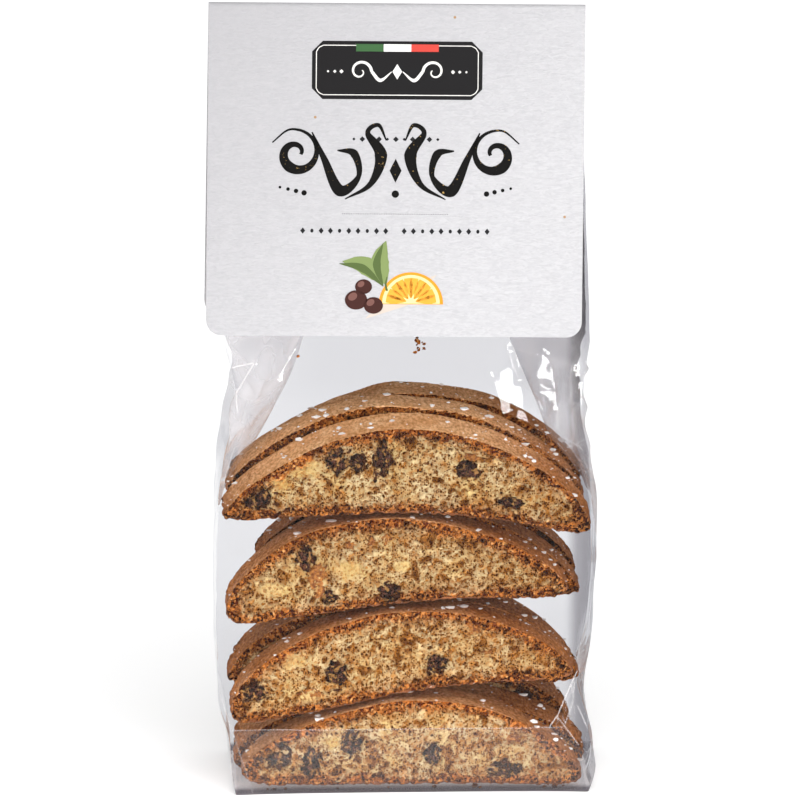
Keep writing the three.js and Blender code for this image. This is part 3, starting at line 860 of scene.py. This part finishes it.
# painted shade: the sheet is drawn a little darker towards its upper left corner, where less light falls
slant = add("VectorMath", (place, (1, 0, -0.9)), operation="DOT_PRODUCT")
painted_corner_shade = add("MapRange", (slant, -0.12, -0.27, 0, 0.65))
speck = add("TexVoronoi", {"Vector": place, "Scale": 1 / (11 * MM)})
fleck = add("MapRange", (speck, 0.045, 0.03))
colour = linear("#b3b2b5")
for share, over in ((shade, "#c2c1c3"), (painted_corner_shade, "#a3a1a4"), (fleck, "#a5835c")):
    colour = add("Mix", {0: share, 6: colour, 7: linear(over)}, data_type="RGBA")
relief = add("Bump", {"Height": felt, "Distance": 0.2 * MM, "Strength": 0.9})
shader = add("BsdfPrincipled", {"Base Color": colour, "Roughness": 0.85, "Normal": relief})
add("OutputMaterial", {"Surface": shader})

bm = bmesh.new()
start = bmesh.ops.create_vert(bm, co=(-CARD_WIDTH / 2, -CARD_FOLD_RADIUS * math.cos(CARD_LEAN),
                                      CARD_FOLD_RADIUS * math.sin(CARD_LEAN)))["vert"]
bmesh.ops.spin(bm, geom=start, cent=(-CARD_WIDTH / 2, 0, 0), axis=(-1, 0, 0),
               angle=math.pi - 2 * CARD_LEAN, steps=14)
bm.verts.ensure_lookup_table()
for end, way in ((min(bm.verts, key=lambda v: v.co.y), -1), (max(bm.verts, key=lambda v: v.co.y), 1)):
    hung = bmesh.ops.extrude_vert_indiv(bm, verts=[end])["verts"]
    drop = (0, way * CARD_DROP * math.sin(CARD_LEAN), -CARD_DROP * math.cos(CARD_LEAN))
    bmesh.ops.translate(bm, vec=drop, verts=hung)
drawn = bmesh.ops.extrude_edge_only(bm, edges=bm.edges[:])
moved = [g for g in drawn["geom"] if isinstance(g, bmesh.types.BMVert)]
bmesh.ops.translate(bm, vec=(CARD_WIDTH, 0, 0), verts=moved)
lowest = min(v.co.z for v in bm.verts)
feet = [v for v in bm.verts if v.co.z < lowest + 1e-3]
bmesh.ops.bevel(bm, geom=feet, offset=CARD_CORNER, offset_type="OFFSET", segments=8, profile=0.5,
                affect="VERTICES", material=-1)
bmesh.ops.recalc_face_normals(bm, faces=bm.faces[:])
bmesh.ops.solidify(bm, geom=bm.faces[:], thickness=CARD_THICKNESS)
bmesh.ops.recalc_face_normals(bm, faces=bm.faces[:])
bmesh.ops.transform(bm, matrix=card_turn, verts=bm.verts[:])
card = finished("header_card_sheet", bm, board, smooth_faces=False)
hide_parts("header_card")


# ----------------------------------------
# Print on the card's front, a hairline of ink: a dark plaque with a tricolour band, a large
# black scroll with gold flecks, two small rules of dots and diamonds, and an orange motif.
# Shapes are drawn on the card's plane, u across from its middle and w up from its fold.

on_card = card_turn @ Matrix.Rotation(-CARD_LEAN, 4, "X") @ Matrix.Translation((0, -CARD_FOLD_RADIUS, 0))
INK_HEIGHT = 0.03


def ink(name, colour):
    """Flat printing ink: matt, with hardly any gloss."""
    material, add = new_material(name)
    shader = add("BsdfPrincipled", {
        "Base Color": linear(colour), "Roughness": 0.6, "Specular IOR Level": 0.1})
    add("OutputMaterial", {"Surface": shader})
    return material


def plate(bm, u, w, width, height, level=1, cut=0.0):
    """A flat oblong centred at (u, w), with its corners cut or not."""
    made = bmesh.ops.create_grid(bm, x_segments=1, y_segments=1, size=0.5)["verts"]
    for v in made:
        v.co = (u + v.co.x * width, -INK_HEIGHT * level, w + v.co.y * height)
    if cut:
        bmesh.ops.bevel(bm, geom=made, offset=cut, segments=1, affect="VERTICES", profile=0.5, material=-1)


def disc(bm, u, w, radius, level=1, sides=40, squash=1.0, turn=0.0):
    """A flat disc, or with few sides a diamond or other regular shape."""
    made = bmesh.ops.create_circle(bm, cap_ends=True, segments=sides, radius=radius)["verts"]
    for v in made:
        x, y = v.co.x * squash, v.co.y
        v.co = (u + x * math.cos(turn) - y * math.sin(turn), -INK_HEIGHT * level,
                w + x * math.sin(turn) + y * math.cos(turn))


def stroke(bm, path, widths, level=1, steps=60):
    """A pen stroke along a smooth path, its width following widths from end to end."""
    made = bmesh.ops.create_grid(bm, x_segments=steps, y_segments=1, size=1)["verts"]
    knots = np.array(path, dtype=float)
    ends = np.vstack((2 * knots[0] - knots[1], knots, 2 * knots[-1] - knots[-2]))

    def at(t):
        k = min(int(t * (len(knots) - 1)), len(knots) - 2)
        f = t * (len(knots) - 1) - k
        a, b, c, d = ends[k:k + 4]
        return 0.5 * (2 * b + (c - a) * f + (2 * a - 5 * b + 4 * c - d) * f ** 2
                      + (3 * b - a - 3 * c + d) * f ** 3)

    for v in made:
        t = min(max((v.co.x + 1) / 2, 0), 1)
        spot, ahead = at(t), at(min(t + 0.002, 1)) - at(max(t - 0.002, 0))
        ahead = ahead / np.hypot(*ahead)
        wide = np.interp(t, np.linspace(0, 1, len(widths)), widths) / 2 * (1 if v.co.y > 0 else -1)
        v.co = (spot[0] - ahead[1] * wide, -INK_HEIGHT * level, spot[1] + ahead[0] * wide)


def spiral(u, w, radius, start, turns, hand, steps=18):
    """Points of a scroll that winds in from radius to its eye."""
    points = []
    for k in range(steps + 1):
        t = k / steps
        angle = start + hand * turns * 2 * math.pi * t
        r = radius * (1 - 0.82 * t)
        points.append((u + r * math.cos(angle), w + r * math.sin(angle)))
    return points


def printed(name, bm, material):
    """Lays a drawing on the card, facing out."""
    bmesh.ops.recalc_face_normals(bm, faces=bm.faces[:])
    for face in bm.faces:
        if face.normal.y > 0:
            face.normal_flip()
    bmesh.ops.transform(bm, matrix=on_card, verts=bm.verts[:])
    piece = finished(name, bm, material, smooth_faces=False)
    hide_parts("header_card")


# plaque, with a ruled border, a small ornament and the tricolour band
PLAQUE_U, PLAQUE_W = 0.2, -18.6
ORNAMENT_W = -19.0
RULE = 0.25
bm = bmesh.new()
plate(bm, PLAQUE_U, PLAQUE_W, 50.8, 17.4, 1, cut=3.2)
printed("plaque", bm, ink("black_ink", "#1d1c1d"))
bm = bmesh.new()
for side in (-1, 1):
    plate(bm, PLAQUE_U, PLAQUE_W + side * 7.4, 44.0, RULE, 2)
    plate(bm, PLAQUE_U + side * 24.1, PLAQUE_W, RULE, 11.0, 2)
    for end in (-1, 1):
        stroke(bm, [(PLAQUE_U + side * u, PLAQUE_W + end * w)
                    for u, w in ((22.0, 7.4), (23.3, 6.7), (24.1, 5.5))], [RULE, RULE], 2, 8)
    curl = spiral(PLAQUE_U + side * 11.0, ORNAMENT_W, 3.4, math.pi / 2 + side * math.pi / 2, 1.1, -side)
    stroke(bm, curl, [0.9, 0.3], 2)
    swag = [(PLAQUE_U + side * u, ORNAMENT_W - w) for u, w in ((7.6, 0), (5.0, 2.6), (1.6, 0))]
    stroke(bm, swag, [0.9, 1.0, 0.2], 2)
    for k in range(3):
        disc(bm, PLAQUE_U + side * (16.6 + 2.0 * k), ORNAMENT_W, 0.62 - 0.12 * k, 2, 4)
disc(bm, PLAQUE_U, ORNAMENT_W, 2.3, 2, 4, squash=0.62)
printed("plaque_ornament", bm, ink("cream_ink", "#e9e6e2"))
for k, name, tone in ((-1, "green_ink", "#3e633d"), (0, "pale_ink", "#eceae8"), (1, "red_ink", "#c9483f")):
    bm = bmesh.new()
    plate(bm, PLAQUE_U + k * 8.2, -11.9, 8.2, 2.2, 3)
    printed("band_" + name, bm, ink(name, tone))

# scroll: each side a curl and two pen strokes, in black ink with flakes of gold
PEN_STROKES = (
    ([(25.0, -37.2), (21.4, -45.0), (16.6, -54.6), (11.0, -50.4), (12.4, -43.6), (17.4, -42.6)],
     [0.4, 1.9, 3.6, 1.4, 2.5, 0.4]),
    ([(15.0, -57.2), (7.4, -52.6), (4.4, -44.0), (8.4, -37.4), (5.2, -35.0), (2.8, -39.6)],
     [0.3, 1.7, 3.8, 1.5, 1.2, 0.4]))
bm = bmesh.new()
for side in (-1, 1):
    curl = spiral(side * 29.6, -43.6, 7.4, math.pi / 2 - side * 0.4, 1.35, side)
    stroke(bm, [(side * 36.8, -40.4)] + curl, [0.4, 1.3, 3.2, 1.7, 1.0], 1, 90)
    for path, widths in PEN_STROKES:
        stroke(bm, [(side * u, w) for u, w in path], widths, 1, 90)
    for k in range(4):
        disc(bm, side * (27.2 + 2.4 * k), -55.4 + 0.55 * k, 0.8 - 0.13 * k, 1, 24)
disc(bm, 0, -48.6, 3.6, 1, 4, squash=0.5)
disc(bm, 0, -55.6, 1.1, 1, 24)
black_gold, add = new_material("black_ink_with_gold_flecks")
place = add("TexCoord").outputs["Object"]
flakes = add("TexNoise", {"Vector": place, "Scale": 1 / (1.1 * MM), "Detail": 4.0, "Roughness": 0.7})
gold = add("MapRange", (flakes, 0.655, 0.675))
tone = add("Mix", {0: gold, 6: linear("#0e0d0c"), 7: linear("#b8965a")}, data_type="RGBA")
shader = add("BsdfPrincipled", {"Base Color": tone, "Roughness": 0.5, "Specular IOR Level": 0.1})
add("OutputMaterial", {"Surface": shader})
printed("scroll", bm, black_gold)

# rules: diamonds over the scroll, a dotted line under it, and diamonds and dots in a row
bm = bmesh.new()
for k in range(-5, 6):
    disc(bm, k * 2.5, -39.2, 0.5 if k % 2 else 0.85, 1, 4)
for k in range(-30, 31):
    disc(bm, k * 0.52, -61.6, 0.11, 1, 10)
for k in range(-10, 11):
    if k:
        disc(bm, k * 2.75, -66.7, 0.95 if k % 3 else 0.6, 1, 4 if k % 3 else 24, squash=0.8)
printed("rules", bm, ink("grey_ink", "#242325"))

# orange motif: a shadow, half a slice of orange, two leaves and three chocolate drops
ORANGE_U, ORANGE_W = 5.0, -88.2
bm = bmesh.new()
disc(bm, 2.0, -86.4, 12.6, 1, 4, squash=0.25, turn=math.radians(-58))
printed("motif_shadow", bm, ink("beige_ink", "#c9bdb2"))
for name, ink_name, tone, radius, level, w in (("orange_rind", "orange_ink", "#e8962c", 9.6, 2, -88.6),
                                               ("orange_pith", "pith_ink", "#f3d79c", 8.6, 3, -88.4)):
    bm = bmesh.new()
    for v in bmesh.ops.create_circle(bm, cap_ends=True, segments=64, radius=radius)["verts"]:
        v.co = (ORANGE_U + v.co.x, -INK_HEIGHT * level, w + max(v.co.y, 0))
    printed(name, bm, ink(ink_name, tone))
bm = bmesh.new()
for k in range(5):
    middle = math.radians(18 + 36 * k)
    for edge in (middle - math.radians(8), middle + math.radians(8)):
        rays = ((1.5, middle), (4.6, edge), (7.5, edge))
        path = [(ORANGE_U + r * math.cos(turn), ORANGE_W + r * math.sin(turn)) for r, turn in rays]
        stroke(bm, path, [0.3, 1.6, 2.6, 2.2], 4, 14)
printed("orange_segments", bm, ink("segment_ink", "#f0a63e"))
LEAVES = (([(-2.4, -82.6), (-8.6, -77.2), (-15.6, -75.8)], 2),
          ([(-2.4, -82.6), (-4.4, -76.0), (-2.6, -69.6)], 3))
bm = bmesh.new()
for path, level in LEAVES:
    stroke(bm, path, [0.2, 4.4, 5.6, 3.6, 0.1], level)
printed("leaves", bm, ink("leaf_ink", "#7f8f5a"))
bm = bmesh.new()
for path, level in LEAVES:
    stroke(bm, [(u - 0.9, w - 0.7) for u, w in path], [0.1, 1.6, 2.4, 1.5, 0.1], level + 1)
stroke(bm, [(-2.2, -84.6), (-2.6, -82.6), (-2.2, -80.4)], [0.7, 0.6, 0.3], 4, 12)
printed("leaf_shading", bm, ink("dark_leaf_ink", "#55653a"))
DROPS = ((-11.4, -87.4, 2.9), (-6.2, -89.0, 2.5), (-9.2, -83.4, 2.2))
bm = bmesh.new()
for u, w, size in DROPS:
    disc(bm, u, w, size, 3, 40, squash=1.15)
printed("chocolate_drops", bm, ink("chocolate_ink", "#432723"))
bm = bmesh.new()
for u, w, size in DROPS:
    disc(bm, u - size * 0.35, w + size * 0.35, size * 0.38, 4, 24, squash=1.3, turn=0.6)
printed("drop_lights", bm, ink("light_chocolate_ink", "#75514a"))


# ----------------------------------------
# Studio: a pale floor that glows faintly, a wide ceiling light, two softer lamps from the sides,
# a low reflector in front, and a window that only gloss shows.

bm = bmesh.new()
bmesh.ops.create_grid(bm, x_segments=1, y_segments=1, size=12)
floor_mesh = bpy.data.meshes.new("floor")
bm.to_mesh(floor_mesh)
bm.free()
floor = bpy.data.objects.new("floor", floor_mesh)
link(floor)
paper, add = new_material("studio_paper")
shader = add("BsdfPrincipled", {
    "Base Color": linear("#fdfdfd"), "Roughness": 0.9,
    "Emission Color": linear("#ffffff"), "Emission Strength": 0.25})
add("OutputMaterial", {"Surface": shader})
floor_mesh.materials.append(paper)

world = bpy.data.worlds.new("studio")
bpy.context.scene.world = world
world.use_nodes = True
background = world.node_tree.nodes["Background"].inputs
background["Color"].default_value = (1, 1, 1, 1)
background["Strength"].default_value = 0.5


def area_light(name, spot, aim, width, height, watts, **hidden):
    """A soft lamp at spot that points at aim. Settings such as visible_glossy hide it."""
    data = bpy.data.lights.new(name, "AREA")
    data.shape = "RECTANGLE"
    data.size = width
    data.size_y = height
    data.energy = watts
    lamp = bpy.data.objects.new(name, data)
    lamp.location = spot
    lamp.rotation_euler = (Vector(aim) - Vector(spot)).to_track_quat("-Z", "Y").to_euler()
    for key, value in hidden.items():
        setattr(lamp, key, value)
    link(lamp)


area_light("left_fill", (-1.3, -1.5, 0.35), (0, 0, 0.05), 0.8, 0.8, 3.5)
area_light("right_fill", (0.5, -0.9, 0.14), (0, 0, 0.03), 0.4, 0.4, 5, visible_glossy=False)
# a white card lying in front of the bag
area_light("reflector", (0, -0.1, 0.008), (0, -0.02, 0.03), 0.26, 0.03, 0.12, visible_glossy=False,
           visible_camera=False)
area_light("window", (0.52, -0.78, 0.93), (0, 0, 0.1), 0.36, 0.36, 20, visible_diffuse=False)

sky = bpy.data.lights.new("ceiling_light", "SUN")
sky.energy = 1.55
sky.angle = math.radians(60)
ceiling = bpy.data.objects.new("ceiling_light", sky)
ceiling.rotation_euler = (math.radians(42), 0, 0)
ceiling.visible_glossy = False
link(ceiling)

# The camera looks slightly down and from a little left of the front.
CAMERA_TURN = -2.0
CAMERA_RISE = 14.0
CAMERA_FAR = 3.5
FIELD = 0.240
AIM = Vector((0.0, 0.0, 0.1156))
turn, rise = math.radians(CAMERA_TURN), math.radians(CAMERA_RISE)
away = Vector((math.sin(turn) * math.cos(rise), -math.cos(turn) * math.cos(rise), math.sin(rise)))
lens = bpy.data.cameras.new("camera")
lens.sensor_width = 36
lens.lens = 36 * CAMERA_FAR / FIELD
camera = bpy.data.objects.new("camera", lens)
camera.location = AIM + away * CAMERA_FAR
camera.rotation_euler = (-away).to_track_quat("-Z", "Y").to_euler()
link(camera)
bpy.context.scene.camera = camera
bpy.context.scene.view_settings.view_transform = "Standard"
